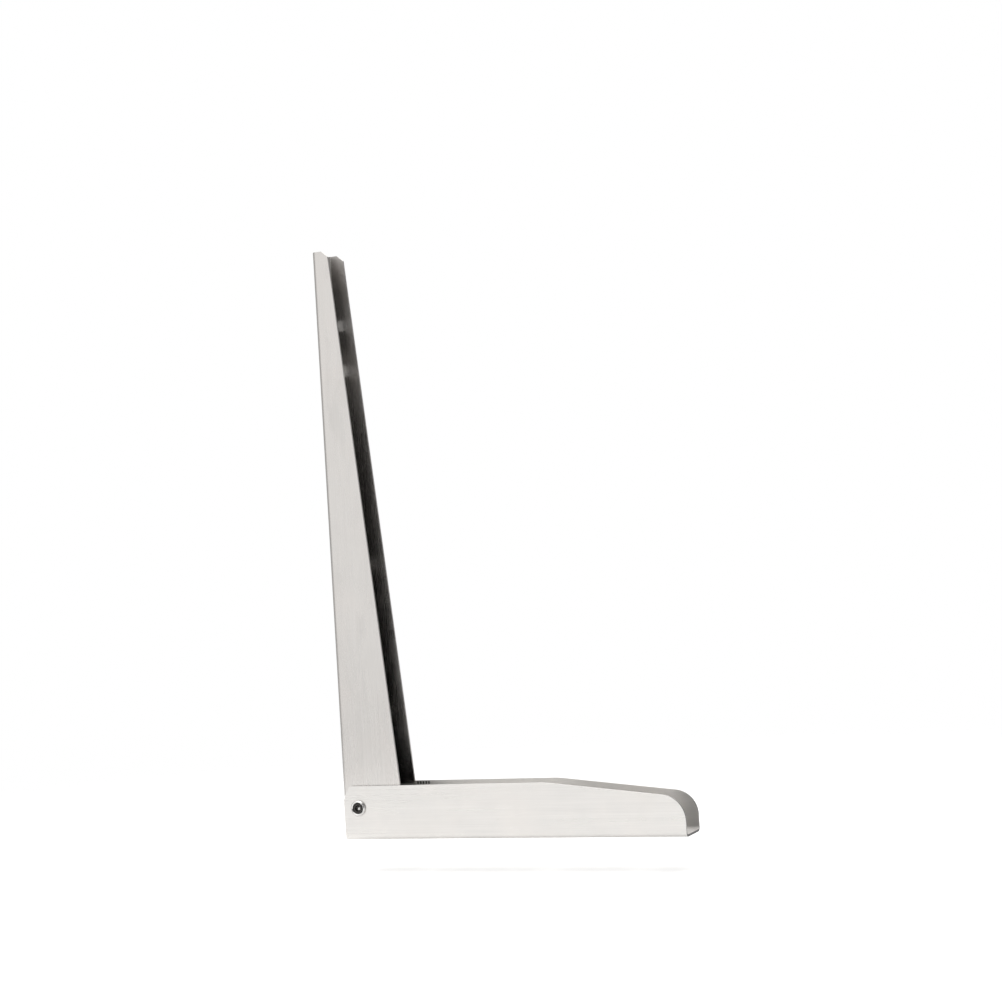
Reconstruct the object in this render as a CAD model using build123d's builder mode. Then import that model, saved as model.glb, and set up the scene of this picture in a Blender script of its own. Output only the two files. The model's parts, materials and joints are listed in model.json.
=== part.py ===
from build123d import *
import math
import os

# Folding wall bracket: a tapered wall rail and a support arm, both bent from 2 mm
# stainless sheet as open channels. A barrel across the arm sits in a hook slot in the
# rail's foot, the arm folds up about it, and a set screw locks the arm open.
# X runs forward from the wall, Y across the width, Z up. X = 0 is the rail's back face,
# Y = 0 the middle plane and Z = 0 the height of the pivot axis. The arm is drawn open.
# The near side is -Y and the far side is +Y.

# ---------------------------------------------------------------- shared dimensions
sheet = 2.0                 # sheet thickness of both channels
fit_gap = 0.02              # radial gap of pressed and threaded fits
pivot_x, pivot_z = pivot = (42.5, 0.0)
lock_x, lock_z = lock = (16.8, 5.0)

# ---------------------------------------------------------------- wall rail dimensions
rail_foot_z = -19.0         # bottom edge
rail_top_z = 521.0          # top edge
rail_half_width = 17.0      # half of the outer width
rail_bend_outer = 4.0       # outside bend radius along the back corners
rail_bottom_depth = 62.4    # flange depth at the foot, before the heel is rounded
rail_top_depth = 16.2       # flange depth below the cut top corner
rail_top_flat = 9.9         # level part of the flange's top edge
rail_top_drop = 5.5         # height of the cut corner at the top
rail_heel_radius = 20.5     # front foot corner, an arc about the pivot

wall_hole_dia = 12.0        # clearance for wall fixings
wall_hole_z = (457.0, 413.5, 229.5, 86.0)
lock_hole_dia = 12.0        # in both flanges, on the lock axis

hook_rise = 17.0            # upright part of the slot, centre to centre
hook_run = 40.0             # level part of the cut, long enough to pass the front edge
mouth_radius = 2.5          # eased corners where the slot opens in the front edge
hook_tip_radius = 1.5       # eased inner corner between the slot's two parts

# ---------------------------------------------------------------- support arm dimensions
arm_back_x = 2.2            # wall end
arm_nose_x = 328.2          # free end
arm_half_width = 20.0       # half of the outer width
arm_bend_outer = 4.5        # outside bend radius along the web's corners
arm_web_z = -24.0           # outer face of the flat web
arm_edge_z = 25.0           # top edge of the flanges over their level part
arm_kink_x = 200.0          # where the flange's edge starts to fall
arm_kink_radius = 60.0      # rounding of that bend in the edge
arm_fall = 0.115            # fall of the edge per millimetre beyond it
arm_nose_radius = 22.0      # round shoulder of the nose
arm_swing_radius = 42.1     # wall end's upper corner, an arc about the pivot

foot_slot_width, foot_slot_length = 9.0, 16.0
foot_slot_x = (83.0, 192.0, 279.0)
foot_hole_dia = 6.0
foot_hole_setback = 41.0    # from each slot's centre back towards the wall

access_hole_dia = 18.4      # far flange, opposite the lock
screw_hole_gap = 0.25       # radial, pivot screw in the far flange

# row of upright dimples under the far flange's top edge
dimple_count = 5
dimple_first_x, dimple_pitch, dimple_z = 60.5, 2.8, 22.8
dimple_width, dimple_length, dimple_depth = 1.5, 2.9, 0.45

# ---------------------------------------------------------------- pivot dimensions
axle_radius = 6.0           # barrel that sits in the rail's hook slot
axle_chamfer = 0.4
axle_bore_depth = 20.0      # blind tapped hole from the far end
spigot_radius = 4.0         # reduced end pressed into the near arm flange from inside
spigot_length = sheet / 2   # half the sheet, so the flange's outer face stays whole
spigot_overlap = 0.5        # how far it starts inside the barrel, for a sound join
running_gap = 0.05          # radial clearance, barrel in slot and in thrust washers

thrust_washer_radius = 10.0
thrust_washer_play = 0.1    # total, per side
thrust_washer_chamfer = 0.2

spacer_wall = 2.5           # spacer's outer radius beyond the barrel's
spacer_bore_gap = 0.08      # radial, round the barrel
spacer_end_gap = 0.05       # to each rail flange
spacer_chamfer = 0.3

split_washer_radius = 7.4
split_washer_height = 1.6
split_washer_bore_gap = 0.3
split_gap_width, split_cut_length = 1.2, 8.0
split_gap_offset = 6.0      # centre of the cut, above the pivot axis
split_gap_angle = 18.0

screw_radius = 4.0          # M8 pivot screw
screw_reach = 17.0          # from the arm flange's inner face to the screw's tip
screw_tip_chamfer = 0.8
screw_head_radius = 8.0
screw_head_height = 4.6
screw_head_rim = 1.5        # straight part of the head's side
# domed top of the head: (distance in from the rim, height above the head's seat)
screw_head_dome = ((1.1, 3.5), (4.2, screw_head_height - 0.12))

recess_length, recess_width = 9.2, 2.3  # arms of the cross recess
recess_core_radius = 2.3
recess_angle, recess_taper = 24.0, 14.0
recess_lead = 0.2           # the cut starts this far outside the head
recess_cut_depth = 3.6      # from that start

# ---------------------------------------------------------------- lock dimensions
insert_body_radius = 6.5
insert_flange_radius = 7.3
insert_flange_chamfer = 1.2
insert_proud = 2.6          # flange height outside the arm
insert_tail_gap = 0.4       # inner end to the rail's flange
insert_bore_gap = 0.05      # radial, round the set screw
lock_screw_radius = 5.0     # M10 set screw
lock_screw_length = 4.8
lock_screw_chamfer = 0.6
lock_hex_across_flats = 5.0
lock_hex_depth = 3.2

# ---------------------------------------------------------------- derived dimensions
rail_inner = rail_half_width - sheet
arm_inner = arm_half_width - sheet
rail_length = rail_top_z - rail_foot_z
arm_length = arm_nose_x - arm_back_x
arm_depth = arm_edge_z - arm_web_z
thrust_washer_height = arm_inner - rail_half_width - thrust_washer_play
insert_face_y = -arm_half_width - insert_proud
insert_tail_y = -rail_half_width - insert_tail_gap  # the set screw ends here too


# ---------------------------------------------------------------- helpers
def save(part, name):
    part.label = name
    export_step(part, f"parts/{name}.step")


def plane_across(centre, y):
    """Plane at y, centred on an (x, z) axis, facing the far side; its local y points down."""
    return Plane(origin=(centre[0], y, centre[1]), x_dir=(1, 0, 0), z_dir=(0, 1, 0))


def pivot_arc_middle(radius, start, end):
    """Middle (x, z) point of an arc about the pivot from start to end."""
    angle = 0.5 * (
        math.atan2(start[1] - pivot_z, start[0] - pivot_x)
        + math.atan2(end[1] - pivot_z, end[0] - pivot_x)
    )
    return (pivot_x + radius * math.cos(angle), pivot_z + radius * math.sin(angle))


# ---------------------------------------------------------------- wall rail
def heel_ends():
    """Where the heel arc meets the rail's foot and the sloping front edge."""
    foot_x = pivot_x + math.sqrt(rail_heel_radius**2 - (pivot_z - rail_foot_z) ** 2)
    # The front edge moves back by slope for each millimetre of height. Its meeting point
    # is found from its distance to the pivot and a step down along it.
    slope = (rail_bottom_depth - rail_top_depth) / (rail_length - rail_top_drop)
    norm = math.hypot(1.0, slope)
    distance = ((rail_bottom_depth - pivot_x) + (rail_foot_z - pivot_z) * slope) / norm
    along = -math.sqrt(rail_heel_radius**2 - distance**2)
    front_x = pivot_x + (distance - along * slope) / norm
    front_z = pivot_z + (distance * slope + along) / norm
    return (foot_x, rail_foot_z), (front_x, front_z)


def build_wall_rail():
    heel_foot, heel_front = heel_ends()
    slot_half = axle_radius + running_gap
    slot_run_z = pivot_z + hook_rise
    slot_front_x = pivot_x + slot_half
    slot_floor_z = slot_run_z - slot_half

    with BuildPart() as rail:
        # channel section: back web with a flange each side, bent at the two back corners
        with BuildSketch(Plane.XY.offset(rail_foot_z)):
            with Locations((rail_bottom_depth / 2, 0)):
                Rectangle(rail_bottom_depth, 2 * rail_half_width)
            fillet(vertices().group_by(Axis.X)[0], rail_bend_outer)
            with BuildSketch(mode=Mode.SUBTRACT):
                with Locations((sheet + rail_bottom_depth / 2, 0)):
                    Rectangle(rail_bottom_depth, 2 * rail_inner)
                fillet(vertices().group_by(Axis.X)[0], rail_bend_outer - sheet)
        extrude(amount=rail_length)
        # side outline: taper, cut top corner, round heel
        with BuildSketch(Plane.XZ):
            with BuildLine():
                Polyline(
                    heel_front,
                    (rail_top_depth, rail_top_z - rail_top_drop),
                    (rail_top_flat, rail_top_z),
                    (0, rail_top_z),
                    (0, rail_foot_z),
                    heel_foot,
                )
                heel_middle = pivot_arc_middle(rail_heel_radius, heel_foot, heel_front)
                ThreePointArc(heel_foot, heel_middle, heel_front)
            make_face()
        extrude(amount=2 * rail_half_width, both=True, mode=Mode.INTERSECT)
        # wall fixings through the web
        with BuildSketch(Plane.YZ):
            with Locations(*[(0, z) for z in wall_hole_z]):
                Circle(wall_hole_dia / 2)
        extrude(amount=sheet, mode=Mode.SUBTRACT)
        # hook slot through both flanges: round seat on the pivot, upright part, level run
        # out of the front edge; and the lock hole behind it
        with BuildSketch(Plane.XZ):
            with Locations(pivot, (pivot_x, slot_run_z)):
                Circle(slot_half)
            with Locations((pivot_x, pivot_z + hook_rise / 2)):
                Rectangle(2 * slot_half, hook_rise)
            with Locations((pivot_x + hook_run / 2, slot_run_z)):
                Rectangle(hook_run, 2 * slot_half)
            with Locations(lock):
                Circle(lock_hole_dia / 2)
        extrude(amount=rail_half_width + 1, both=True, mode=Mode.SUBTRACT)
        # eased corners: the slot's mouth, then the tip of the hook
        mouth = edges().filter_by(Axis.Y)
        mouth = mouth.filter_by_position(Axis.X, slot_front_x + 1, rail_bottom_depth)
        mouth = mouth.filter_by_position(
            Axis.Z, slot_floor_z - 1, slot_run_z + slot_half + 1
        )
        fillet(mouth, mouth_radius)
        tip = edges().filter_by(Axis.Y)
        tip = tip.filter_by_position(Axis.X, slot_front_x - 0.1, slot_front_x + 0.1)
        tip = tip.filter_by_position(Axis.Z, slot_floor_z - 1, slot_floor_z + 1)
        fillet(tip, hook_tip_radius)
    save(rail.part, "wall_rail")


# ---------------------------------------------------------------- support arm
def build_support_arm():
    swing_low = (
        arm_back_x,
        pivot_z + math.sqrt(arm_swing_radius**2 - (pivot_x - arm_back_x) ** 2),
    )
    swing_high = (
        pivot_x - math.sqrt(arm_swing_radius**2 - (arm_edge_z - pivot_z) ** 2),
        arm_edge_z,
    )
    kink = (arm_kink_x, arm_edge_z)
    nose_corner = (arm_nose_x, arm_edge_z - arm_fall * (arm_nose_x - arm_kink_x))

    with BuildPart() as arm:
        # channel section: flat web below, a flange each side
        with BuildSketch(Plane.YZ.offset(arm_back_x)):
            with Locations((0, arm_web_z + arm_depth / 2)):
                Rectangle(2 * arm_half_width, arm_depth)
            fillet(vertices().group_by(Axis.Y)[0], arm_bend_outer)
            with BuildSketch(mode=Mode.SUBTRACT):
                with Locations((0, arm_web_z + sheet + arm_depth / 2)):
                    Rectangle(2 * arm_inner, arm_depth)
                fillet(vertices().group_by(Axis.Y)[0], arm_bend_outer - sheet)
        extrude(amount=arm_length)
        # side outline: swing corner at the wall, level edge, falling edge, round nose
        with BuildSketch(Plane.XZ):
            with BuildLine():
                Polyline(
                    swing_high,
                    kink,
                    nose_corner,
                    (arm_nose_x, arm_web_z),
                    (arm_back_x, arm_web_z),
                    swing_low,
                )
                swing_middle = pivot_arc_middle(arm_swing_radius, swing_low, swing_high)
                ThreePointArc(swing_low, swing_middle, swing_high)
            make_face()
            fillet(vertices().sort_by_distance(nose_corner)[0], arm_nose_radius)
            fillet(vertices().sort_by_distance(kink)[0], arm_kink_radius)
        extrude(amount=2 * arm_half_width, both=True, mode=Mode.INTERSECT)
        # slots and small holes in the web for the feet of whatever the arm carries
        with BuildSketch(Plane.XY.offset(arm_web_z)):
            with Locations(*[(x, 0) for x in foot_slot_x]):
                SlotOverall(foot_slot_length, foot_slot_width)
            with Locations(*[(x - foot_hole_setback, 0) for x in foot_slot_x]):
                Circle(foot_hole_dia / 2)
        extrude(amount=sheet, mode=Mode.SUBTRACT)
        # Plane.XZ faces the near side, so its positive offsets lie at negative Y.
        # near flange: seat of the lock insert, and the blind seat of the barrel's spigot
        with BuildSketch(Plane.XZ.offset(arm_inner)):
            with Locations(lock):
                Circle(insert_body_radius)
        extrude(amount=sheet, mode=Mode.SUBTRACT)
        with BuildSketch(Plane.XZ.offset(arm_inner)):
            with Locations(pivot):
                Circle(spigot_radius)
        extrude(amount=spigot_length, mode=Mode.SUBTRACT)
        # far flange: screw hole, and the large access hole on the lock axis
        with BuildSketch(Plane.XZ.offset(-arm_half_width)):
            with Locations(pivot):
                Circle(screw_radius + screw_hole_gap)
            with Locations(lock):
                Circle(access_hole_dia / 2)
        extrude(amount=sheet, mode=Mode.SUBTRACT)
        # shallow dimples in the far flange's inner face
        dimple_x = [dimple_first_x + i * dimple_pitch for i in range(dimple_count)]
        with BuildSketch(Plane.XZ.offset(-arm_inner)):
            with Locations(*[(x, dimple_z) for x in dimple_x]):
                SlotOverall(dimple_length, dimple_width, rotation=90)
        extrude(amount=-dimple_depth, mode=Mode.SUBTRACT)
    save(arm.part, "support_arm")


# ---------------------------------------------------------------- pivot
def build_pivot_axle():
    with BuildPart() as axle:
        with BuildSketch(plane_across(pivot, -arm_inner)):
            Circle(axle_radius)
        extrude(amount=2 * arm_inner)
        chamfer(edges().filter_by(GeomType.CIRCLE), axle_chamfer)
        with BuildSketch(plane_across(pivot, -arm_inner - spigot_length)):
            Circle(spigot_radius - fit_gap)
        extrude(amount=spigot_length + spigot_overlap)
        # blind tapped hole from the far end
        with BuildSketch(plane_across(pivot, arm_inner)):
            Circle(screw_radius + fit_gap)
        extrude(amount=-axle_bore_depth, mode=Mode.SUBTRACT)
    save(axle.part, "pivot_axle")


def build_thrust_washer(name, start_y):
    """Washer between a rail flange and an arm flange, from start_y towards the far side."""
    with BuildPart() as washer:
        with BuildSketch(plane_across(pivot, start_y)):
            Circle(thrust_washer_radius)
            Circle(axle_radius + running_gap, mode=Mode.SUBTRACT)
        extrude(amount=thrust_washer_height)
        rims = edges().filter_by(GeomType.CIRCLE).group_by(SortBy.RADIUS)[-1]
        chamfer(rims, thrust_washer_chamfer)
    save(washer.part, name)


def build_spacer_tube():
    half_length = rail_inner - spacer_end_gap
    with BuildPart() as tube:
        with BuildSketch(plane_across(pivot, -half_length)):
            Circle(axle_radius + spacer_wall)
            Circle(axle_radius + spacer_bore_gap, mode=Mode.SUBTRACT)
        extrude(amount=2 * half_length)
        chamfer(edges().filter_by(GeomType.CIRCLE), spacer_chamfer)
    save(tube.part, "spacer_tube")


def build_pivot_washer():
    """Split spring washer, with the gap left open at the top."""
    with BuildPart() as washer:
        with BuildSketch(plane_across(pivot, arm_half_width)):
            Circle(split_washer_radius)
            Circle(screw_radius + split_washer_bore_gap, mode=Mode.SUBTRACT)
            with Locations((0, -split_gap_offset)):
                Rectangle(
                    split_gap_width,
                    split_cut_length,
                    rotation=split_gap_angle,
                    mode=Mode.SUBTRACT,
                )
        extrude(amount=split_washer_height)
    save(washer.part, "pivot_washer")


def build_pivot_screw():
    """Pan head screw with a cross recess, its shank down the axle."""
    tip_y = arm_inner - screw_reach
    seat_y = arm_half_width + split_washer_height
    top_y = seat_y + screw_head_height
    rim_end = (screw_head_radius, seat_y + screw_head_rim)
    dome = [(screw_head_radius - inset, seat_y + rise) for inset, rise in screw_head_dome]

    with BuildPart() as screw:
        # half profile: radius along X, length along Y
        with BuildSketch(Plane(origin=(pivot_x, 0, pivot_z), x_dir=(1, 0, 0), z_dir=(0, 0, 1))):
            with BuildLine():
                Polyline(
                    (0, top_y),
                    (0, tip_y),
                    (screw_radius - screw_tip_chamfer, tip_y),
                    (screw_radius, tip_y + screw_tip_chamfer),
                    (screw_radius, seat_y),
                    (screw_head_radius, seat_y),
                    rim_end,
                )
                Spline(rim_end, *dome, (0, top_y), tangents=[(0, 1), (-1, 0)])
            make_face()
        revolve(axis=Axis((pivot_x, 0, pivot_z), (0, 1, 0)))
        with BuildSketch(plane_across(pivot, top_y + recess_lead)):
            Rectangle(recess_length, recess_width, rotation=recess_angle)
            Rectangle(recess_width, recess_length, rotation=recess_angle)
            Circle(recess_core_radius)
        extrude(amount=-recess_cut_depth, taper=recess_taper, mode=Mode.SUBTRACT)
    save(screw.part, "pivot_screw")


# ---------------------------------------------------------------- lock
def build_lock_insert():
    """Flanged bush in the near arm flange that carries the set screw."""
    with BuildPart() as insert:
        with BuildSketch(plane_across(lock, insert_face_y)):
            Circle(insert_flange_radius)
        extrude(amount=insert_proud)
        chamfer(edges().filter_by(GeomType.CIRCLE).group_by(Axis.Y)[0], insert_flange_chamfer)
        with BuildSketch(plane_across(lock, -arm_half_width)):
            Circle(insert_body_radius - fit_gap)
        extrude(amount=insert_tail_y + arm_half_width)
        with BuildSketch(plane_across(lock, insert_face_y)):
            Circle(lock_screw_radius + insert_bore_gap)
        extrude(amount=insert_tail_y - insert_face_y, mode=Mode.SUBTRACT)
    save(insert.part, "lock_insert")


def build_lock_screw():
    """Set screw with a hexagon socket in its outer end."""
    outer_end = plane_across(lock, insert_tail_y - lock_screw_length)
    with BuildPart() as screw:
        with BuildSketch(outer_end):
            Circle(lock_screw_radius)
        extrude(amount=lock_screw_length)
        chamfer(edges().filter_by(GeomType.CIRCLE), lock_screw_chamfer)
        with BuildSketch(outer_end):
            RegularPolygon(radius=lock_hex_across_flats / 2, side_count=6, major_radius=False)
        extrude(amount=lock_hex_depth, mode=Mode.SUBTRACT)
    save(screw.part, "lock_screw")


# ---------------------------------------------------------------- build everything
os.makedirs("parts", exist_ok=True)
build_wall_rail()
build_support_arm()
build_pivot_axle()
build_thrust_washer("thrust_washer_near", -arm_inner + thrust_washer_play / 2)
build_thrust_washer("thrust_washer_far", rail_half_width + thrust_washer_play / 2)
build_spacer_tube()
build_pivot_washer()
build_pivot_screw()
build_lock_insert()
build_lock_screw()
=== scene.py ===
"""Folding support bracket in brushed stainless steel.

An upright rail, a bent channel, stands along Z. A channel-shaped arm reaches out along +X with
its web underneath, and hinges on a pivot along Y. A threaded insert and its lock screw sit in
the arm's near flange. The camera looks along +Y, so "near" is the -Y side and "far" is +Y.
Scene units are metres; turned and pressed parts are worked out in millimetres.
"""

import json
import math
from types import SimpleNamespace

import bmesh
import bpy
from mathutils import Matrix, Vector


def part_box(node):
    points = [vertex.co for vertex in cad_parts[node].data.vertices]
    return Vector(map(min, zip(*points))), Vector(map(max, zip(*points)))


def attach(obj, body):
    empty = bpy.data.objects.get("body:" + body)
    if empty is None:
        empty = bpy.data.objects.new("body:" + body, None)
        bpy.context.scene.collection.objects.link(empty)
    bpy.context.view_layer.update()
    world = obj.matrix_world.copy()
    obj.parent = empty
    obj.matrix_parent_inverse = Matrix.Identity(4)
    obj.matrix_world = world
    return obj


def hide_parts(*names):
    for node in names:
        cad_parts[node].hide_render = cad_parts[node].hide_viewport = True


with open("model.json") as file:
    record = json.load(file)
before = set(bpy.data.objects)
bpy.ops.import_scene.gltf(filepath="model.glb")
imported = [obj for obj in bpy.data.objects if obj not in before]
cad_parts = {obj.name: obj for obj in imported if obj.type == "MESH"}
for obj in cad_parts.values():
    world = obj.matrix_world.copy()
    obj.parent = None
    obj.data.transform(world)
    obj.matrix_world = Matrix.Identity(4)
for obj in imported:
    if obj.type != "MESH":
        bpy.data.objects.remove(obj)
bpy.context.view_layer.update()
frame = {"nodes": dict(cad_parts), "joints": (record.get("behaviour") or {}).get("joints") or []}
nodes = frame["nodes"]
scene = bpy.context.scene
MM = 0.001

# Short ribs in the pressed mark, mm; behind them, inside the arm, dark dimples are painted on as
# painted shade
RIB_X = 60.5            # middle of the first rib
RIB_PITCH = 2.8
RIB_COUNT = 5

# Places read from the frame
pivot = Vector(next(j for j in frame["joints"] if j["name"] == "arm_fold")["pos_m"])
insert_low, insert_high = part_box("lock_insert")
lock = (insert_low + insert_high) / 2
lock.y = 0.0
arm_low, arm_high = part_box("support_arm")


# ------------------------------------------------------------------ node helpers
class Net:
    """Short calls for one node tree. A value is a number, a tuple or another node's output."""

    def __init__(self, owner, output_kind):
        owner.use_nodes = True
        self.tree = owner.node_tree
        self.tree.nodes.clear()
        self.surface = self.new(output_kind).inputs["Surface"]

    def new(self, kind, inputs=None, **settings):
        node = self.tree.nodes.new("ShaderNode" + kind)
        for key, value in settings.items():
            setattr(node, key, value)
        self.fill(node, inputs or {})
        return node

    def fill(self, node, inputs):
        for key, value in inputs.items():
            self.put(node.inputs[key], value)

    def put(self, socket, value):
        if hasattr(value, "is_output"):
            self.tree.links.new(value, socket)
        elif isinstance(value, (tuple, Vector)):
            # a colour given as three numbers gets an alpha of 1
            socket.default_value = (*value, 1.0)[:len(socket.default_value)]
        else:
            socket.default_value = value

    def math(self, operation, *values):
        padded = (*values, 0.0, 0.0)[:3]
        return self.new("Math", dict(enumerate(padded)), operation=operation).outputs[0]

    def add(self, a, b):
        return self.math("ADD", a, b)

    def sub(self, a, b):
        return self.math("SUBTRACT", a, b)

    def mul(self, first, *others):
        for other in others:
            first = self.math("MULTIPLY", first, other)
        return first

    def size_of(self, value):
        return self.math("ABSOLUTE", value)

    def vector(self, operation, a, b):
        node = self.new("VectorMath", {0: a, 1: b}, operation=operation)
        return node.outputs["Value" if operation in ("DOT_PRODUCT", "DISTANCE") else 0]

    def split(self, vector):
        return self.new("SeparateXYZ", {0: vector}).outputs

    def remap(self, value, span, to=(0.0, 1.0), smooth=False):
        """Carry the range span onto the range to, held at both ends."""
        kind = "SMOOTHSTEP" if smooth else "LINEAR"
        inputs = dict(enumerate((value, *span, *to)))
        return self.new("MapRange", inputs, clamp=True, interpolation_type=kind).outputs[0]

    def mix(self, amount, under, over):
        inputs = {0: amount, 6: under, 7: over}
        return self.new("Mix", inputs, data_type="RGBA", clamp_factor=True).outputs[2]

    def mix_value(self, amount, under, over):
        inputs = {0: amount, 2: under, 3: over}
        return self.new("Mix", inputs, data_type="FLOAT", clamp_factor=True).outputs[0]

    def noise(self, vector, scale=1.0, detail=2.0, rough=0.5, distortion=0.0):
        inputs = {"Vector": vector, "Scale": scale, "Detail": detail,
                  "Roughness": rough, "Distortion": distortion}
        return self.new("TexNoise", inputs).outputs[0]

    def coords(self):
        return self.new("TexCoord").outputs["Object"]

    def mapped(self, vector, scale, rotation=(0, 0, 0), offset=(0, 0, 0)):
        inputs = {"Vector": vector, "Scale": scale, "Rotation": rotation, "Location": offset}
        return self.new("Mapping", inputs).outputs[0]

    def transform(self, vector, kind, source, target):
        return self.new("VectorTransform", {0: vector}, vector_type=kind,
                        convert_from=source, convert_to=target).outputs[0]

    def normal(self):
        return self.new("NewGeometry").outputs["Normal"]

    def openness(self, samples, distance):
        return self.new("AmbientOcclusion", {"Distance": distance}, samples=samples).outputs["AO"]

    def creases(self, radius):
        """1 along convex and concave creases within radius, 0 on open faces."""
        bevel = self.new("Bevel", {"Radius": radius}, samples=6)
        alignment = self.vector("DOT_PRODUCT", bevel.outputs[0], self.normal())
        return self.remap(alignment, span=(0.80, 0.985), to=(1.0, 0.0))

    def bump(self, height, strength, distance, under=None):
        node = self.new("Bump", {"Strength": strength, "Distance": distance, "Height": height})
        if under:
            self.put(node.inputs["Normal"], under)
        return node.outputs[0]

    def camera_ray(self):
        return self.new("LightPath").outputs["Is Camera Ray"]


def new_material(name):
    material = bpy.data.materials.new(name)
    net = Net(material, "OutputMaterial")
    shader = net.new("BsdfPrincipled")
    net.put(net.surface, shader.outputs["BSDF"])
    return material, net, shader


def tint(colour, factor):
    return tuple(min(1.0, c * factor) for c in colour)


# ------------------------------------------------------------------ brushed stainless sheet
# |y| of the sheet's inner faces starts just past this, by grain: Z is the rail, X the arm
SHEET_HALF = {"Z": 0.0148, "X": 0.0178}


def stretched(grain, across, along):
    return (along, across, across) if grain == "X" else (across, across, along)


def sheet_patterns(net, grain, base, seed):
    """Textures, places and masks that the sheet's layers share."""
    coords = net.coords()

    def placed(scale, step=0.0, rotation=(0, 0, 0)):
        offset = tuple(seed * k + step for k in (0.37, 0.71, 0.53))
        return net.mapped(coords, scale, rotation, offset)

    def streak(across, along, step, detail):
        scale = stretched(grain, across, along)
        return net.noise(placed(scale, step), detail=detail, rough=0.55)

    sheet = SimpleNamespace(coords=coords, base=base)
    sheet.fine = streak(across=5200, along=26, step=1.3, detail=2.0)
    sheet.mid = streak(across=1150, along=9, step=4.1, detail=2.0)
    sheet.broad = streak(across=210, along=3.2, step=7.7, detail=1.0)
    sheet.cloud = net.noise(placed((1, 1, 1)), scale=17, detail=3.0, rough=0.55)
    sheet.patch = net.noise(placed((1, 1, 1), step=3), scale=48, detail=2.0, rough=0.5)
    smear_scale = stretched(grain, across=60, along=14)
    sheet.smear = net.noise(placed(smear_scale), detail=3.0, rough=0.6, distortion=0.6)

    # long hairline scratches, few and faint
    hair_scale = stretched(grain, across=320, along=11)
    cells = net.new("TexVoronoi", feature="DISTANCE_TO_EDGE", inputs={
        "Vector": placed(hair_scale, rotation=(0.012, 0.02, 0.015)), "Scale": 1.0})
    hair = net.remap(cells.outputs["Distance"], span=(0.0, 0.016), to=(1.0, 0.0))
    sheet.hair = net.mul(hair, net.remap(sheet.cloud, span=(0.5, 0.62)))

    sheet.tone = net.add(net.mul(sheet.mid, 0.55), net.mul(sheet.fine, 0.45))
    sheet.x, sheet.y, sheet.z = net.split(coords)
    sheet.from_middle = net.size_of(sheet.y)
    half = SHEET_HALF[grain]
    sheet.inner = net.remap(sheet.from_middle, span=(half + 0.0002, half + 0.0007), to=(1.0, 0.0))
    return sheet


def brushed_colour(net, sheet, warm):
    base = sheet.base
    streaks = net.remap(sheet.tone, span=(0.34, 0.66))
    colour = net.mix(streaks, tint(base, 0.93), tint(base, 1.045))
    bands = net.remap(sheet.broad, span=(0.3, 0.7), to=(0.0, 0.5))
    colour = net.mix(bands, colour, tint(base, 0.955))
    # handling: faint warm clouds and dull patches
    clouds = net.remap(sheet.cloud, span=(0.42, 0.66), to=(0.0, 0.65))
    colour = net.mix(clouds, colour, warm)
    patches = net.remap(sheet.patch, span=(0.52, 0.74), to=(0.0, 0.30))
    colour = net.mix(patches, colour, tint(base, 0.92))
    return net.mix(net.mul(sheet.hair, 0.30), colour, tint(base, 1.1))


def cut_edges(net, sheet, grain):
    """Sheared edges, striated across the thickness: their mask, their colour and the edge wear
    with its painted edge highlight.
    """
    facing = net.split(net.transform(net.normal(), "NORMAL", "WORLD", "OBJECT"))
    side_on = net.remap(net.size_of(facing[1]), span=(0.25, 0.42), to=(1.0, 0.0))
    end_on = net.remap(net.size_of(facing[0 if grain == "X" else 2]), span=(0.80, 0.93))
    # the web's broad faces are side on too, but lie well inside the width and stay brushed
    half = SHEET_HALF[grain]
    is_cut = net.mul(side_on, net.remap(sheet.from_middle, span=(half - 0.0003, half)))
    is_cut = net.math("MAXIMUM", is_cut, end_on)
    striae = net.noise(net.mapped(sheet.coords, scale=(2600, 120, 2600)), detail=2.0, rough=0.5)
    striae = net.remap(striae, span=(0.35, 0.65))
    colour = net.mix(striae, tint(sheet.base, 0.80), tint(sheet.base, 1.06))
    # edge wear and painted edge highlight along convex and concave creases
    edge_wear_and_highlight = net.creases(radius=0.00045)
    if grain == "X":
        # painted shade: edges that face +X are painted dark in place of their dark reflection, the
        # web's edges most
        painted_dark_edge = net.mul(net.remap(facing[0], span=(0.10, 0.60), to=(0.0, 0.96)),
                           net.remap(sheet.z, span=(-0.0215, -0.0190), to=(1.0, 0.62)))
        colour = net.mix(painted_dark_edge, colour, (0.035, 0.033, 0.032))
        edge_wear_and_highlight = net.mul(edge_wear_and_highlight, net.sub(1.0, painted_dark_edge))
    return is_cut, colour, edge_wear_and_highlight


def painted_light_inside(net, sheet, colour):
    """Painted light: the arm's inside is painted brighter from the hinge to about mid-length."""
    amount = net.mul(
        sheet.inner,
        net.remap(sheet.x, span=(0.185, 0.245), to=(0.9, 0.0), smooth=True),
        net.remap(sheet.tone, span=(0.3, 0.6), to=(0.8, 1.0)))
    return net.mix(amount, colour, (0.94, 0.92, 0.895))


def painted_shade_open_end(net, sheet, colour):
    """Painted shade: the arm's inside is painted darker towards its +X end, less so on the web."""
    amount = net.mul(
        net.remap(sheet.x, span=(0.300, 0.327), to=(0.0, 0.60), smooth=True),
        sheet.inner,
        net.remap(sheet.smear, span=(0.3, 0.7), to=(0.75, 1.0)),
        net.remap(sheet.z, span=(-0.0218, -0.0185), to=(0.45, 1.0), smooth=True))
    return net.mix(amount, colour, tint(sheet.base, 0.22))


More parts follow.
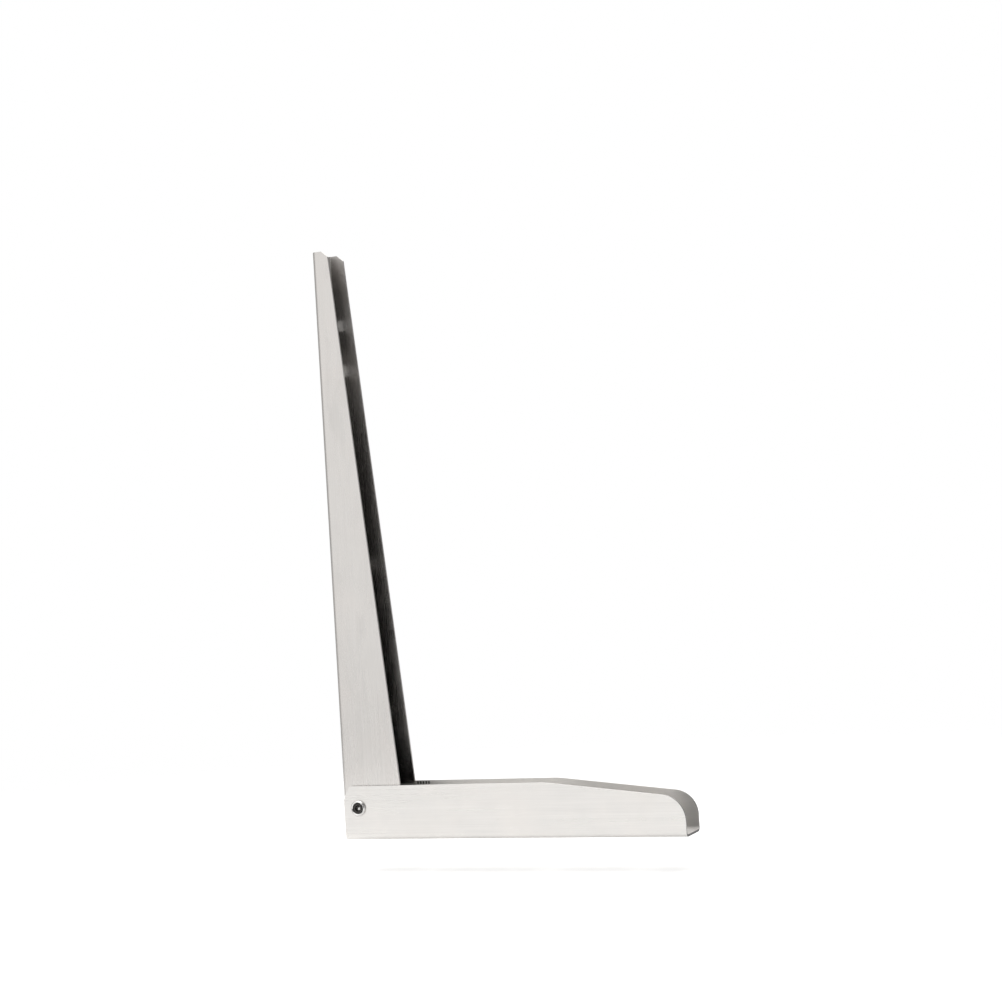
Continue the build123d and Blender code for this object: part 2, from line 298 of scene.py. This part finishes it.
def painted_dimple_shade(net, sheet, colour):
    """Painted shade: a row of dark dimples painted on the far flange's inner face."""
    dimple_z = 0.0228
    face_y = 0.018
    pitch = RIB_PITCH * MM
    place = net.math("DIVIDE", net.sub(sheet.x, RIB_X * MM - pitch / 2), pitch)
    across = net.size_of(net.sub(net.math("FRACT", place), 0.5))
    off_row = net.size_of(net.sub(sheet.z, dimple_z))
    off_face = net.size_of(net.sub(sheet.y, face_y))
    strength = 0.84
    amount = net.mul(
        net.remap(across, span=(0.20, 0.36), to=(1.0, 0.0), smooth=True),
        net.math("COMPARE", place, RIB_COUNT / 2, RIB_COUNT / 2),
        net.remap(off_row, span=(0.0009, 0.0015), to=(1.0, 0.0), smooth=True),
        net.remap(off_face, span=(0.0005, 0.0007), to=(1.0, 0.0)),
        strength)
    return net.mix(amount, colour, (0.08, 0.076, 0.072))


def painted_ridge_foot_shade(net, sheet, colour):
    """Painted shade along the foot of the pressed ridges, little on the shallow ribs higher up."""
    foot_y = 0.0200
    unshaded_y = 0.0202
    amount = net.mul(
        net.remap(sheet.y, span=(foot_y - 0.00004, foot_y + 0.00002), smooth=True),
        net.remap(sheet.y, span=(unshaded_y - 0.00008, unshaded_y), to=(1.0, 0.0), smooth=True),
        net.remap(sheet.patch, span=(0.35, 0.6), to=(0.45, 0.85)),
        net.remap(sheet.z, span=(0.0205, 0.0215), to=(1.0, 0.25)))
    return net.mix(amount, colour, (0.21, 0.19, 0.175))


def rail_top_painted_shade(net, sheet, colour):
    """Painted shade: the rail's shallow upper end is painted darker behind the flanges' sloping
    front (+X) edges.
    """
    foot_z, foot_x, slope = -0.019, 0.0624, 0.08556    # the line of the front edge
    front_x = net.sub(foot_x, net.mul(net.add(sheet.z, -foot_z), slope))
    amount = net.mul(
        net.mul(net.remap(sheet.z, span=(0.424, 0.442), to=(0.0, 0.36), smooth=True),
                net.remap(sheet.z, span=(0.488, 0.515), to=(1.0, 0.4))),
        net.remap(net.sub(front_x, sheet.x), span=(0.0040, 0.0095), smooth=True),
        sheet.inner,
        net.remap(sheet.smear, span=(0.3, 0.7), to=(0.85, 1.0)))
    return net.mix(amount, colour, (0.05, 0.047, 0.044))


def sheet_roughness(net, sheet, rough, inner_rough, lip_rough, openness, edge_wear_and_highlight, is_cut):
    value = net.add(net.mul(sheet.mid, 0.13), rough - 0.065)
    value = net.add(value, net.mul(sheet.inner, inner_rough))
    lip = net.mul(sheet.inner, net.remap(openness, span=(0.46, 0.60), smooth=True))
    value = net.add(value, net.mul(lip, lip_rough))
    value = net.add(value, net.mul(net.remap(sheet.smear, span=(0.45, 0.7)), 0.07))
    value = net.sub(value, net.mul(edge_wear_and_highlight, 0.08))
    return net.mix_value(is_cut, under=value, over=0.42)


def brushed_sheet(name, grain, base, warm, rough, seed, shade_span, shade_tint,
                  inner_rough, lip_rough=0.0, early=(), late=()):
    """Bent stainless sheet, brushed along the axis grain ("X" or "Z").

    shade_span is the openness where the painted shade inside is full and where it is gone,
    shade_tint how dark that painted shade is. inner_rough and lip_rough are added to the roughness
    inside.
    early layers go under the edge wear and its painted highlight, late ones over everything.
    """
    material, net, shader = new_material(name)
    sheet = sheet_patterns(net, grain, base, seed)
    colour = brushed_colour(net, sheet, warm)
    is_cut, cut_colour, edge_wear_and_highlight = cut_edges(net, sheet, grain)
    colour = net.mix(is_cut, colour, cut_colour)
    for layer in early:
        colour = layer(net, sheet, colour)
    # edge wear with a painted highlight: creases are painted brighter
    colour = net.mix(net.mul(edge_wear_and_highlight, 0.45), colour, (0.93, 0.925, 0.915))
    # painted shade: the channel's inside is painted darker, deepest along the folds
    openness = net.openness(samples=8, distance=0.10)
    painted_inner_shade = net.remap(openness, span=shade_span, to=(1.0, 0.0))
    colour = net.mix(painted_inner_shade, colour, tint(base, shade_tint))
    for layer in late:
        colour = layer(net, sheet, colour)

    fine_bump = net.bump(net.add(sheet.fine, net.mul(sheet.mid, 1.4)),
                         strength=0.35, distance=0.00004)
    net.fill(shader, {
        "Base Color": colour,
        "Metallic": 1.0,
        "Roughness": sheet_roughness(net, sheet, rough, inner_rough, lip_rough,
                                     openness, edge_wear_and_highlight, is_cut),
        # brushing stretches highlights across its own direction
        "Anisotropic": 0.75,
        "Anisotropic Rotation": 0.25,
        "Tangent": net.transform(stretched(grain, across=0, along=1),
                                 "VECTOR", "OBJECT", "WORLD"),
        "Normal": net.bump(sheet.cloud, strength=0.30, distance=0.0006, under=fine_bump),
    })
    return material


# ------------------------------------------------------------------ turned steel and nylon
def turned_steel(name, axis_point, base=(0.72, 0.715, 0.71), rough=0.20, hollow_shade_amount=0.5,
                 hollow_shade_colour=(0.10, 0.095, 0.09), painted_glint=None):
    """Machined stainless with concentric tool marks about an axis along Y.

    painted_glint paints a highlight spot on a socket's floor: y where it starts and is full, and
    the spot's radius and middle about the axis.
    """
    material, net, shader = new_material(name)
    coords = net.coords()
    offset = net.vector("SUBTRACT", coords, axis_point)
    x, y, z = net.split(offset)
    radius = net.math("SQRT", net.add(net.mul(x, x), net.mul(z, z)))
    turning = net.new("CombineXYZ", {0: net.mul(radius, 5200.0), 1: net.mul(y, 3600.0)})
    rings_mark = net.noise(turning.outputs[0], detail=2.0, rough=0.5)
    speck = net.noise(coords, scale=900, detail=3.0, rough=0.6)
    colour = net.mix(net.remap(rings_mark, span=(0.35, 0.65)), tint(base, 0.88), tint(base, 1.08))

    # painted shade in hollows, speckled
    hollow = net.remap(net.openness(samples=6, distance=0.0028), span=(0.25, 0.75), to=(1.0, 0.0))
    hollow_shade_range = (hollow_shade_amount, min(1.0, hollow_shade_amount * 1.7))
    painted_hollow_shade = net.mul(hollow, net.remap(speck, span=(0.2, 0.6), to=hollow_shade_range))
    colour = net.mix(painted_hollow_shade, colour, hollow_shade_colour)
    # painted highlight spot on the socket's floor
    if painted_glint:
        flat = net.vector("MULTIPLY", offset, (1, 0, 1))
        spot = net.vector("DISTANCE", flat, painted_glint["middle"])
        edge = painted_glint["radius"]
        amount = net.mul(net.remap(y, span=painted_glint["depths"]),
                         net.remap(spot, span=(edge, edge + 0.0005), to=(1.0, 0.0), smooth=True))
        colour = net.mix(amount, colour, (0.72, 0.71, 0.70))
    # edge wear with a painted highlight: creases are painted brighter
    edge_wear_and_highlight = net.mul(net.creases(radius=0.0003), 0.5)

    roughness = net.add(net.mul(rings_mark, 0.10), rough - 0.05)
    height = net.add(rings_mark, net.mul(speck, 0.5))
    net.fill(shader, {
        "Base Color": net.mix(edge_wear_and_highlight, colour, (0.93, 0.925, 0.92)),
        "Metallic": 1.0,
        "Roughness": net.add(roughness, net.mul(painted_hollow_shade, 0.25)),
        "Normal": net.bump(height, strength=0.25, distance=0.00003),
    })
    return material


def nylon(name):
    """Off-white nylon, faintly mottled."""
    material, net, shader = new_material(name)
    coords = net.coords()
    mottle = net.noise(coords, scale=260, detail=3.0, rough=0.55)
    grain = net.noise(coords, scale=4200, detail=2.0, rough=0.6)
    mottle = net.remap(mottle, span=(0.35, 0.65))
    colour = net.mix(mottle, (0.72, 0.70, 0.63), (0.82, 0.80, 0.74))
    # edge wear with a painted highlight: creases are painted brighter
    edge_wear_and_highlight = net.mul(net.creases(radius=0.0003), 0.4)
    net.fill(shader, {
        "Base Color": net.mix(edge_wear_and_highlight, colour, (0.9, 0.89, 0.85)),
        "Roughness": net.add(net.mul(grain, 0.16), 0.36),
        "Subsurface Weight": 0.12,
        "Subsurface Scale": 0.001,
        "Normal": net.bump(grain, strength=0.2, distance=0.00005),
    })
    return material


rail_steel = brushed_sheet(
    "rail_brushed_steel", grain="Z", base=(0.755, 0.733, 0.712), warm=(0.76, 0.725, 0.70),
    rough=0.25, seed=1, shade_span=(0.22, 0.53), shade_tint=0.35, inner_rough=-0.05,
    lip_rough=0.34, late=[rail_top_painted_shade])
ARM_LOOK = dict(
    grain="X", base=(0.765, 0.748, 0.728), warm=(0.785, 0.756, 0.728),
    rough=0.29, seed=2, shade_span=(0.08, 0.34), shade_tint=0.76, inner_rough=0.31)
arm_steel = brushed_sheet("arm_brushed_steel", **ARM_LOOK,
                          early=[painted_light_inside], late=[painted_shade_open_end, painted_dimple_shade])
mark_steel = brushed_sheet("arm_mark_steel", **ARM_LOOK, late=[painted_ridge_foot_shade])
pivot_steel = turned_steel("pivot_bright_steel", pivot)
lock_steel = turned_steel("insert_bright_steel", lock, base=(0.74, 0.73, 0.72), rough=0.24)
# painted shade darkens the socket's hollows, and a painted highlight spot sits on its floor
socket_steel = turned_steel(
    "socket_dark_steel", lock, base=(0.055, 0.052, 0.05), rough=0.26, hollow_shade_amount=0.8,
    hollow_shade_colour=(0.012, 0.012, 0.012),
    painted_glint=dict(depths=(-0.01935, -0.01905), radius=0.0011, middle=(0.0002, 0.0, -0.0009)))
washer_nylon = nylon("washer_natural_nylon")


# ------------------------------------------------------------------ mesh helpers
def smooth_by_angle(obj, degrees):
    for face in obj.data.polygons:
        face.use_smooth = True
    obj.data.set_sharp_from_angle(angle=math.radians(degrees))


def make_object(name, bm, material):
    mesh = bpy.data.meshes.new(name)
    bm.to_mesh(mesh)
    bm.free()
    obj = bpy.data.objects.new(name, mesh)
    scene.collection.objects.link(obj)
    mesh.materials.append(material)
    return obj


def make_solid(name, bm, material, smooth):
    bmesh.ops.recalc_face_normals(bm, faces=bm.faces[:])
    obj = make_object(name, bm, material)
    smooth_by_angle(obj, smooth)
    return obj


def register(obj, rides, replaces):
    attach(obj, rides)
    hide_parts(replaces)


def lathe(name, rows, segments, centre, material, closed=False, smooth=38):
    """Turn rows about the axis through centre along Y.

    Each row is a function of the angle that gives (radius, y) in mm. closed joins the last
    row to the first; otherwise both ends are capped to the axis.
    """
    bm = bmesh.new()
    loops = []
    for row in rows:
        loop = []
        for i in range(segments):
            angle = 2 * math.pi * i / segments
            radius, y = row(angle)
            loop.append(bm.verts.new((centre.x + radius * MM * math.cos(angle), y * MM,
                                      centre.z + radius * MM * math.sin(angle))))
        loops.append(loop)
    pairs = list(zip(loops, loops[1:]))
    if closed:
        pairs.append((loops[-1], loops[0]))
    for low, high in pairs:
        for i in range(segments):
            j = (i + 1) % segments
            bm.faces.new((low[i], low[j], high[j], high[i]))
    if not closed:
        for loop, flip in ((loops[0], True), (loops[-1], False)):
            y = sum(vert.co.y for vert in loop) / segments
            hub = bm.verts.new((centre.x, y, centre.z))
            for i in range(segments):
                j = (i + 1) % segments
                bm.faces.new((hub, loop[j], loop[i]) if flip else (hub, loop[i], loop[j]))
    return make_solid(name, bm, material, smooth)


def rings(*points):
    """Round lathe rows from (radius, y) points."""
    return [lambda angle, point=point: point for point in points]


def thread_rows(start, end, crest, root, pitch, step, run_out=0.8):
    """Rows of a helical thread that fades to its root radius over run_out at both ends."""
    def thread_row(y):
        fade = min(1.0, (y - start) / run_out, (end - y) / run_out)

        def row(angle):
            turn = (y / pitch - angle / (2 * math.pi)) % 1.0
            triangle = 1.0 - abs(2 * turn - 1.0)
            # flats at crest and root
            height = min(1.0, max(0.0, (triangle - 0.12) / 0.76))
            return root + (crest - root) * height * fade, y

        return row

    count = max(2, int(round((end - start) / step)))
    return [thread_row(start + (end - start) * k / count) for k in range(count + 1)]


# ------------------------------------------------------------------ lock insert and lock screw, mm
LOCK_PITCH = 1.5
LOCK_STEP = 0.085       # between thread rows
LOCK_SEGMENTS = 144


def build_lock_insert():
    """Flanged ring with a coned rim and a threaded bore."""
    face = insert_low.y / MM
    tail = insert_high.y / MM
    seat = arm_low.y / MM               # outer face of the near flange
    flange = (insert_high.x - insert_low.x) / 2 / MM
    bore = 5.05
    body = 6.48
    cone_width = 1.15
    cone_height = 1.55

    # body from the tail to the flange's rim
    rows = rings(
        (body - 0.35, tail), (body, tail - 0.35), (body, seat + 0.02),
        (flange - 0.05, seat), (flange, seat - 0.12),
        (flange, face + cone_height + 0.22), (flange - 0.06, face + cone_height + 0.02))
    # slightly bulging cone
    cone_steps = 6
    for k in range(1, cone_steps):
        t = k / cone_steps
        bulge = 0.16 * math.sin(math.pi * t)
        rows += rings((flange - cone_width * t + bulge * 0.7,
                       face + cone_height * (1 - t) - bulge * 0.3))
    # face, countersink and bore
    rows += rings((bore + 1.05, face), (bore + 0.86, face + 0.05),
                  (bore + 0.2, face + 0.55), (bore + 0.04, face + 0.7))
    rows += thread_rows(face + 0.72, tail - 0.3, crest=bore + 0.52, root=bore + 0.03,
                        pitch=LOCK_PITCH, step=LOCK_STEP)
    rows += rings((bore + 0.3, tail))
    insert = lathe("lock_insert_ring", rows, LOCK_SEGMENTS, lock, lock_steel, closed=True)
    register(insert, "arm", "lock_insert")


def build_lock_screw():
    """Threaded screw with a hexagon socket, from the socket's floor out and round to the tail."""
    low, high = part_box("lock_screw")
    face = low.y / MM
    tail = high.y / MM
    outer = (high.x - low.x) / 2 / MM
    apothem = 2.5
    hex_turn = math.radians(12)

    def hex_row(scale, widen, depth):
        def row(angle):
            from_flat = (angle - hex_turn) % (math.pi / 3) - math.pi / 6
            return apothem / math.cos(from_flat) * scale + widen, face + depth
        return row

    wall = [(1.0, 0.0, 2.7 - 0.55 * k) for k in range(5)]
    # scale of the hexagon, radius added, depth below the face
    socket = [(0.62, 0.0, 3.15), (0.985, 0.0, 2.75), *wall,
              (1.02, 0.0, 0.42), (1.0, 0.30, 0.10), (0.5, 1.9, 0.02)]
    rows = rings((0.6, face + 3.45))
    rows += [hex_row(*entry) for entry in socket]
    rows += rings((4.05, face), (4.22, face + 0.05), (4.62, face + 0.5))
    rows += thread_rows(face + 0.6, tail - 0.7, crest=outer, root=outer - 0.75,
                        pitch=LOCK_PITCH, step=LOCK_STEP, run_out=0.25)
    rows += rings((4.2, tail - 0.45), (3.6, tail), (2.4, tail), (2.0, tail - 0.6))
    screw = lathe("lock_screw_body", rows, LOCK_SEGMENTS, lock, socket_steel, smooth=32)
    register(screw, "lock", "lock_screw")


# ------------------------------------------------------------------ pivot screw and washer, mm
washer_low, washer_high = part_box("pivot_washer")


def build_pivot_screw():
    """Pan-head screw with a cross recess, from the near end of the shank to the recess floor."""
    low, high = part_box("pivot_screw")
    tip = low.y / MM
    seat = washer_high.y / MM           # underside of the head
    head = (high.x - low.x) / 2 / MM
    height = high.y / MM - seat
    shank = 3.99
    cross_turn = math.radians(24)
    # reach and half width of the cross's arms, at the top and at the floor
    top_cross = (4.6, 1.2)
    low_cross = (2.5, 0.72)

    def dome(radius):
        """Height of the head's top over its underside."""
        t = min(1.0, max(0.0, radius / head))
        return height * (1.0 - 0.10 * t**2 - 0.52 * max(0.0, (t - 0.58) / 0.42) ** 2.6)

    def cross(angle, reach, half):
        cosine = abs(math.cos(angle - cross_turn)) + 1e-9
        sine = abs(math.sin(angle - cross_turn)) + 1e-9
        return max(min(reach / cosine, half / sine),
                   min(reach / sine, half / cosine),
                   half * 1.75)

    def crown_row(t):
        """From the head's rim, t = 0, to just outside the cross, t = 1."""
        def row(angle):
            rim = head * (1.0 - 0.004)
            edge = cross(angle, *top_cross) + 0.16
            radius = rim + (edge - rim) * t
            return radius, seat + dome(radius)
        return row

    def lip_row(angle):
        edge = cross(angle, *top_cross)
        return edge + 0.03, seat + dome(edge) - 0.10

    def recess_row(t):
        """Down the wall of the recess."""
        def row(angle):
            edge = cross(angle, *top_cross)
            radius = edge + (cross(angle, *low_cross) - edge) * t
            y_top = dome(edge) - 0.18
            return radius, seat + y_top + (height - 3.35 - y_top) * t
        return row

    def floor_row(angle):
        return cross(angle, *low_cross) * 0.45, seat + height - 3.65

    rows = rings((3.1, tip), (3.25, tip + 0.05))
    rows += thread_rows(tip + 0.3, seat - 3.2, crest=shank, root=3.35,
                        pitch=1.25, step=0.1, run_out=0.9)
    rows += rings((shank, seat - 2.9), (shank, seat - 0.02), (4.3, seat),
                  (head - 0.25, seat), (head - 0.06, seat + 0.07), (head, seat + 0.3))
    rows += rings(*[(head, seat + 0.3 + (dome(head) - 0.3) * k / 4 * 0.97) for k in range(1, 5)])
    rows += [crown_row(k / 14) for k in range(1, 15)]
    rows.append(lip_row)
    rows += [recess_row(k / 6) for k in range(1, 7)]
    rows.append(floor_row)
    rows += rings((0.25, seat + height - 3.9))
    screw = lathe("pivot_screw_pan_head", rows, 192, pivot, pivot_steel, smooth=30)
    register(screw, "arm", "pivot_screw")


def build_spring_washer():
    """Split ring whose ends are set apart along Y."""
    near = washer_low.y / MM
    outer = (washer_high.x - washer_low.x) / 2 / MM
    inner = 4.3
    lift = 0.28                         # how far the helix climbs in one turn
    thick = (washer_high.y - washer_low.y) / MM - lift
    chamfer = 0.16
    gap = math.radians(9)
    start = math.radians(-96) + gap / 2
    steps = 120
    # (radius, y) round the section
    section = (
        (inner, chamfer), (inner + chamfer, 0),
        (outer - chamfer, 0), (outer, chamfer),
        (outer, thick - chamfer), (outer - chamfer, thick),
        (inner + chamfer, thick), (inner, thick - chamfer))

    bm = bmesh.new()
    loops = []
    for i in range(steps + 1):
        t = i / steps
        angle = start + t * (2 * math.pi - gap)
        loops.append([
            bm.verts.new((pivot.x + radius * MM * math.cos(angle),
                          (near + lift * t + y) * MM,
                          pivot.z + radius * MM * math.sin(angle)))
            for radius, y in section])
    for low, high in zip(loops, loops[1:]):
        for k in range(len(section)):
            j = (k + 1) % len(section)
            bm.faces.new((low[k], low[j], high[j], high[k]))
    bm.faces.new(loops[0])
    bm.faces.new(list(reversed(loops[-1])))
    washer = make_solid("pivot_spring_washer", bm, pivot_steel, smooth=35)
    register(washer, "arm", "pivot_washer")


build_lock_insert()
build_lock_screw()
build_pivot_screw()
build_spring_washer()


# ------------------------------------------------------------------ CAD pieces that stay
EDGE_BREAK = 0.00022


def break_edges(obj):
    bevel = obj.modifiers.new("edge_break", "BEVEL")
    bevel.width = EDGE_BREAK
    bevel.segments = 2
    bevel.limit_method = "ANGLE"
    bevel.angle_limit = math.radians(35)
    bevel.use_clamp_overlap = True
    bevel.harden_normals = False
    bevel.miter_outer = "MITER_ARC"


# piece, material, whether its edges are broken
for piece, material, broken in (
    ("wall_rail", rail_steel, True),
    ("support_arm", arm_steel, True),
    ("pivot_axle", pivot_steel, False),
    ("spacer_tube", pivot_steel, False),
    ("thrust_washer_near", washer_nylon, False),
    ("thrust_washer_far", washer_nylon, False),
):
    obj = nodes[piece]
    obj.data.materials.clear()
    obj.data.materials.append(material)
    if broken:
        break_edges(obj)
    smooth_by_angle(obj, 30)

# ------------------------------------------------------------------ pressed mark, mm
# On the arm's far flange: a rounded frame round three slanted bars, with a row of short ribs
# above. Ridges stand 0.36 proud; between them the patch lies just under the sheet's face.
MARK_X, MARK_Z = 75.0, 6.2              # middle of the patch
MARK_WIDTH, MARK_HEIGHT = 34.0, 35.6
MARK_CELLS_X, MARK_CELLS_Z = 150, 168
MARK_SINK = 0.06                        # ground of the patch below the face
MARK_RELIEF = 0.42                      # ridge top over that ground
MARK_DEPTH = 1.0                        # back of the patch below the face
FRAME_SHIFT_X, FRAME_SHIFT_Z = 2.5, -5.0
FRAME_HALF_X, FRAME_HALF_Z, FRAME_CORNER = 10.5, 6.5, 3.5
BAR_PITCH, BAR_LEAN, BAR_REACH = 5.0, 1.6, 3.4
RIB_BOTTOM, RIB_TOP = 15.7, 17.0


def ridge(distance, half=0.55, soft=0.5):
    """Height 0..1 of a rounded ridge at a distance from its centre line."""
    t = min(1.0, max(0.0, (abs(distance) - half + soft) / (2 * soft)))
    return 1.0 - t * t * (3 - 2 * t)


def segment_distance(x, z, start_x, start_z, end_x, end_z):
    run_x, run_z = end_x - start_x, end_z - start_z
    t = ((x - start_x) * run_x + (z - start_z) * run_z) / (run_x * run_x + run_z * run_z)
    t = min(1.0, max(0.0, t))
    return math.hypot(x - start_x - t * run_x, z - start_z - t * run_z)


def mark_height(x, z):
    """Height 0..1 of the pattern at a place measured from the patch's middle."""
    frame_x, frame_z = x - FRAME_SHIFT_X, z - FRAME_SHIFT_Z
    past_x = abs(frame_x) - FRAME_HALF_X + FRAME_CORNER
    past_z = abs(frame_z) - FRAME_HALF_Z + FRAME_CORNER
    outside = math.hypot(max(past_x, 0), max(past_z, 0))
    heights = [ridge(outside + min(max(past_x, past_z), 0) - FRAME_CORNER)]
    for k in (-1, 0, 1):
        middle = k * BAR_PITCH
        heights.append(ridge(segment_distance(
            frame_x, frame_z, middle - BAR_LEAN, -BAR_REACH, middle + BAR_LEAN, BAR_REACH), 0.6))
    for k in range(RIB_COUNT):
        rib = RIB_X + RIB_PITCH * k - MARK_X
        heights.append(ridge(segment_distance(x, z, rib, RIB_BOTTOM, rib, RIB_TOP), 0.5))
    return max(heights)


def build_mark():
    face = arm_high.y / MM
    bm = bmesh.new()
    grid = []
    for i in range(MARK_CELLS_X + 1):
        column = []
        for k in range(MARK_CELLS_Z + 1):
            x = (i / MARK_CELLS_X - 0.5) * MARK_WIDTH
            z = (k / MARK_CELLS_Z - 0.5) * MARK_HEIGHT
            y = face - MARK_SINK + MARK_RELIEF * mark_height(x, z)
            column.append(bm.verts.new(((MARK_X + x) * MM, y * MM, (MARK_Z + z) * MM)))
        grid.append(column)
    for left, right in zip(grid, grid[1:]):
        for k in range(MARK_CELLS_Z):
            bm.faces.new((left[k], left[k + 1], right[k + 1], right[k]))
    # walls down to a flat back, sunk in the sheet
    border = [column[0] for column in grid[:-1]]
    border += grid[-1][:-1]
    border += [column[-1] for column in grid[:0:-1]]
    border += grid[0][:0:-1]
    back_y = (face - MARK_DEPTH) * MM
    sunk = [bm.verts.new((vert.co.x, back_y, vert.co.z)) for vert in border]
    for i in range(len(border)):
        j = (i + 1) % len(border)
        bm.faces.new((border[i], border[j], sunk[j], sunk[i]))
    bm.faces.new(sunk)
    mark = make_solid("arm_pressed_mark", bm, mark_steel, smooth=50)
    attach(mark, "arm")


build_mark()


# ------------------------------------------------------------------ stage
def floor_material():
    """Pale matt floor that fades out with distance and cannot be seen from below."""
    material, net, shader = new_material("floor_pale")
    coords = net.coords()
    mottle = net.noise(coords, scale=2.0, detail=3.0, rough=0.5)
    net.fill(shader, {
        "Base Color": net.mix(mottle, (0.93, 0.93, 0.93), (0.95, 0.95, 0.95)),
        "Roughness": 0.9,
        "Emission Color": (1, 1, 1, 1),
        # glows more to the camera than to the bracket
        "Emission Strength": net.remap(net.camera_ray(), span=(0.0, 1.0), to=(0.12, 0.30)),
        "Specular IOR Level": 0.1,
    })
    away = net.vector("DISTANCE", coords, (0.14, 0.0, 0.0))
    gone = net.remap(away, span=(0.30, 1.3), smooth=True)
    underside = net.new("NewGeometry").outputs["Backfacing"]
    clear = net.new("BsdfTransparent")
    faded = net.new("MixShader", {0: net.math("MAXIMUM", gone, underside),
                                  1: shader.outputs[0], 2: clear.outputs[0]})
    net.put(net.surface, faded.outputs[0])
    return material


def build_floor():
    bm = bmesh.new()
    bmesh.ops.create_grid(bm, x_segments=2, y_segments=2, size=14.0)
    floor = make_object("floor", bm, floor_material())
    floor.location = (0, 0, -0.054)


def build_world():
    """Soft room: plain white to the camera, a gentle gradient to everything else."""
    world = bpy.data.worlds.new("studio")
    scene.world = world
    net = Net(world, "OutputWorld")
    x, y, z = net.split(net.new("TexCoord").outputs["Generated"])
    # dim towards +X, but for a narrow bright lobe straight out along it
    level = net.remap(x, span=(0.25, 0.74), to=(1.0, 0.05), smooth=True)
    lobe = net.mul(
        net.remap(x, span=(0.74, 0.97), to=(0.0, 0.95), smooth=True),
        net.remap(net.size_of(y), span=(0.12, 0.36), to=(1.0, 0.0), smooth=True))
    level = net.add(level, lobe)
    # dimmer straight out along -X, brighter overhead, dimmer below
    level = net.mul(level, net.remap(x, span=(-0.97, -0.62), to=(0.55, 1.0), smooth=True))
    vertical = net.mul(net.remap(z, span=(0.26, 0.80), to=(1.0, 1.75), smooth=True),
                       net.remap(z, span=(-0.75, -0.25), to=(0.72, 1.0), smooth=True))
    room_strength = 0.80
    level = net.mul(level, vertical, room_strength)
    seen = net.camera_ray()
    background = net.new("Background", {
        "Color": net.mix(seen, (1.0, 0.995, 0.985), (1.0, 1.0, 1.0)),
        "Strength": net.mix_value(seen, under=level, over=1.0),
    })
    net.put(net.surface, background.outputs[0])


def softbox(name, place, target, width, height, power):
    light = bpy.data.lights.new(name, "AREA")
    light.energy = power
    light.shape = "RECTANGLE"
    light.size = width
    light.size_y = height
    obj = bpy.data.objects.new(name, light)
    scene.collection.objects.link(obj)
    obj.location = place
    aim = Vector(target) - Vector(place)
    obj.rotation_euler = aim.to_track_quat("-Z", "Y").to_euler()
    obj.visible_camera = False


build_floor()
build_world()
softbox("key_softbox", place=(-0.9, -2.2, 0.55), target=(0.12, 0, 0.25),
        width=1.7, height=1.2, power=1.2)
softbox("top_softbox", place=(0.0, 0.2, 2.2), target=(0.12, 0, 0.2),
        width=2.0, height=2.0, power=12)
softbox("back_softbox", place=(-0.6, 2.2, 0.9), target=(0.12, 0, 0.25),
        width=1.6, height=1.6, power=1.6)

# ------------------------------------------------------------------ camera
SENSOR_WIDTH = 36.0                     # mm
LENS = 68.263473054                     # mm
# radians: turned from +Y towards -X, tipped down, rolled
YAW = 0.3858662339518721
PITCH = -0.04327161796181054
ROLL = -0.06226254563983875
# The anchor, mm, and where it lies from the camera: to the right, up and ahead, mm
ANCHOR = (120.0, 0.0, 226.0)
SIDE = -41.423653626335906
RISE = -53.90798177730879
DISTANCE = 1731.1170461822217


def build_camera():
    forward = Vector((-math.sin(YAW) * math.cos(PITCH),
                      math.cos(YAW) * math.cos(PITCH),
                      -math.sin(PITCH)))
    level_right = Vector((math.cos(YAW), math.sin(YAW), 0.0))
    level_up = level_right.cross(forward)
    right = math.cos(ROLL) * level_right + math.sin(ROLL) * level_up
    up = -math.sin(ROLL) * level_right + math.cos(ROLL) * level_up
    eye = Vector(ANCHOR) - SIDE * right - RISE * up - DISTANCE * forward

    data = bpy.data.cameras.new("camera")
    data.sensor_fit = "HORIZONTAL"
    data.sensor_width = SENSOR_WIDTH
    data.lens = LENS
    data.clip_start = 0.01
    data.clip_end = 100.0
    camera = bpy.data.objects.new("camera", data)
    scene.collection.objects.link(camera)
    turn = Matrix((right, up, -forward)).transposed().to_4x4()
    camera.matrix_world = Matrix.Translation(eye * MM) @ turn
    scene.camera = camera


build_camera()
scene.view_settings.view_transform = "Standard"
scene.view_settings.look = "None"
